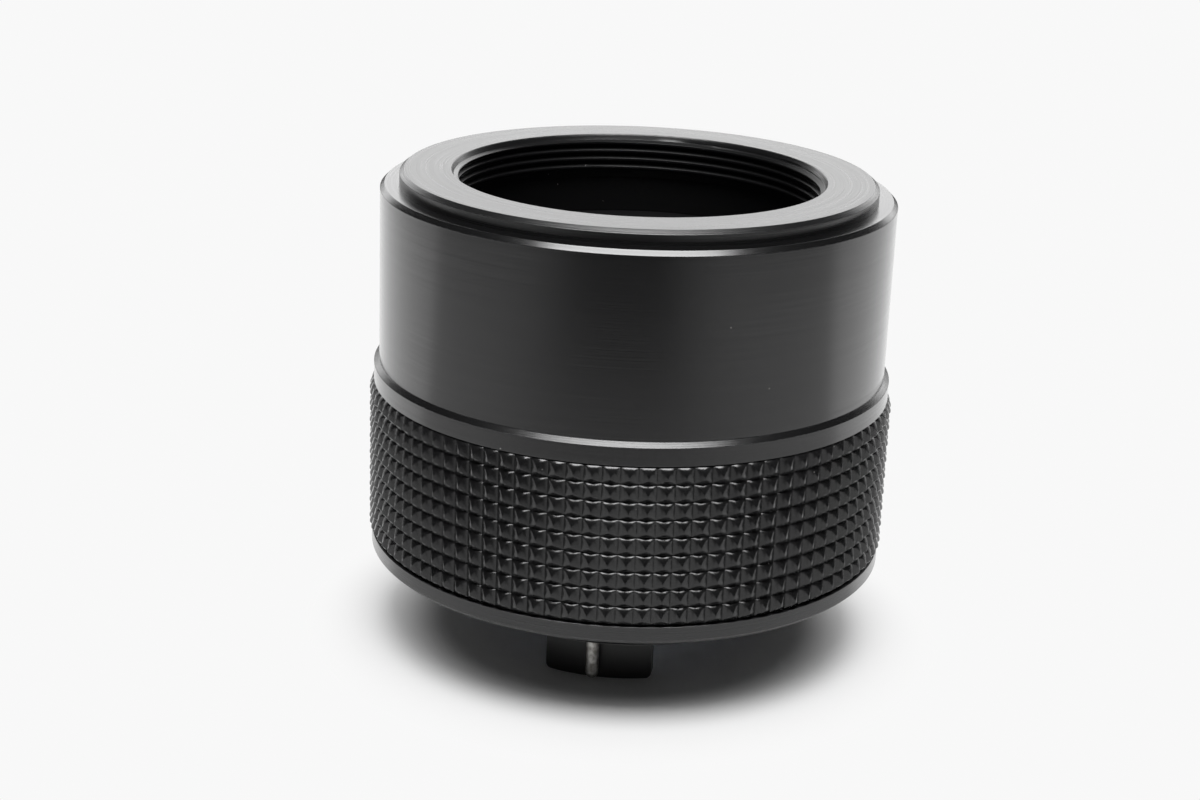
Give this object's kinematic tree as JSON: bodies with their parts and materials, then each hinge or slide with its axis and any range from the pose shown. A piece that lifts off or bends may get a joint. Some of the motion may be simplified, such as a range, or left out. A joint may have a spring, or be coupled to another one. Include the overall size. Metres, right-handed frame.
{
  "type": "camera teleconverter",
  "caption": "Screw-mount camera teleconverter: black barrel with a pyramid-pattern rubber grip, lens thread in front, camera thread behind, and a sprung pin that passes on the diaphragm push.",
  "frame": {"origin": "on the optical axis, at the surface that the rear guard's tabs stand on", "axes": "+Z along the optical axis towards the lens, -Y towards the side with the diaphragm pin"},
  "size_m": [0.0606, 0.0606, 0.055],
  "materials": {
    "black_anodised": "satin black anodised, fine turning lines",
    "black_mount": "satin black anodised",
    "black_guard": "black anodised, rubbed edges",
    "matt_black": "matt black anodised",
    "grip_rubber": "moulded black rubber",
    "bright_steel": "dull bright steel",
    "black_steel": "blackened steel",
    "bush_brass": "turned brass",
    "coated_glass": "polished, coated"
  },
  "bodies": {
    "housing": {"barrel": "black_anodised", "grip_ring": "black_anodised", "grip_rubber": "grip_rubber", "front_mount": "black_mount", "rear_mount": "black_mount", "rear_mount_screws": "black_steel", "rear_guard": "black_guard", "rear_guard_screws": "bright_steel", "lens_cell": "matt_black", "lens_cell_screws": "bright_steel", "front_crown": "coated_glass", "front_flint": "coated_glass", "front_spacer": "matt_black", "middle_glass": "coated_glass", "front_retainer": "matt_black", "rear_meniscus": "coated_glass", "rear_spacer": "matt_black", "rear_glass": "coated_glass", "rear_retainer": "matt_black", "rod_bush": "bush_brass", "guide_bush": "bush_brass", "pin_bush": "bush_brass", "return_spring": "bright_steel"},
    "plunger": {"push_plate": "black_steel", "transfer_rod": "bright_steel", "guide_rod": "bright_steel", "aperture_pin": "bright_steel", "spring_clip": "bright_steel"}
  },
  "joints": [
    {"name": "plunger_slide", "type": "slide", "parent": "housing", "child": "plunger", "axis": [0, 0, 1], "range_m": [0, 0.003], "stiffness_N_per_m": 300, "springref_m": -0.004, "deforming": ["return_spring"]}
  ]
}
